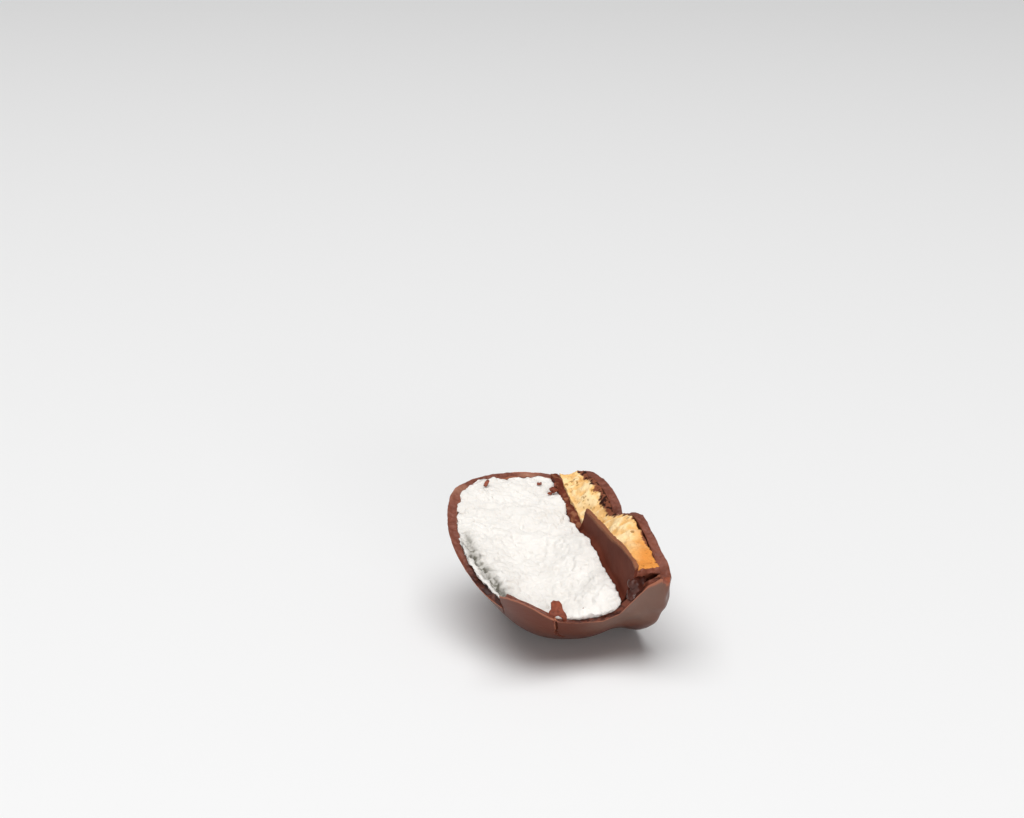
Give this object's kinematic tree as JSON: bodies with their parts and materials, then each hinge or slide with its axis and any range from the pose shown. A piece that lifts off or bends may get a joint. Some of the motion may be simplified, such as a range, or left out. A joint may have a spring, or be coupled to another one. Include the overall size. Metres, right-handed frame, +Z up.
{
  "type": "chocolate-coated marshmallow",
  "caption": "Broken side of a chocolate-coated marshmallow on a biscuit, lying on its rounded back with the white filling, biscuit and inner chocolate layer showing.",
  "frame": {"origin": "under the middle of the laid piece, on the surface it lies on", "axes": "+Z up from that surface, +Y roughly along the break from its near end to its far end, -X towards the crown of the treat and +X towards its biscuit"},
  "size_m": [0.0376, 0.0494, 0.0207],
  "materials": {
    "chocolate": "milk chocolate, satin outside and dull where it broke",
    "inner_chocolate": "milk chocolate, satin",
    "marshmallow": "soft foam, matt",
    "biscuit": "baked crumb, matt"
  },
  "bodies": {
    "root": {"chocolate_coat": "chocolate", "marshmallow": "marshmallow", "chocolate_layer": "inner_chocolate", "biscuit": "biscuit"}
  },
  "joints": []
}
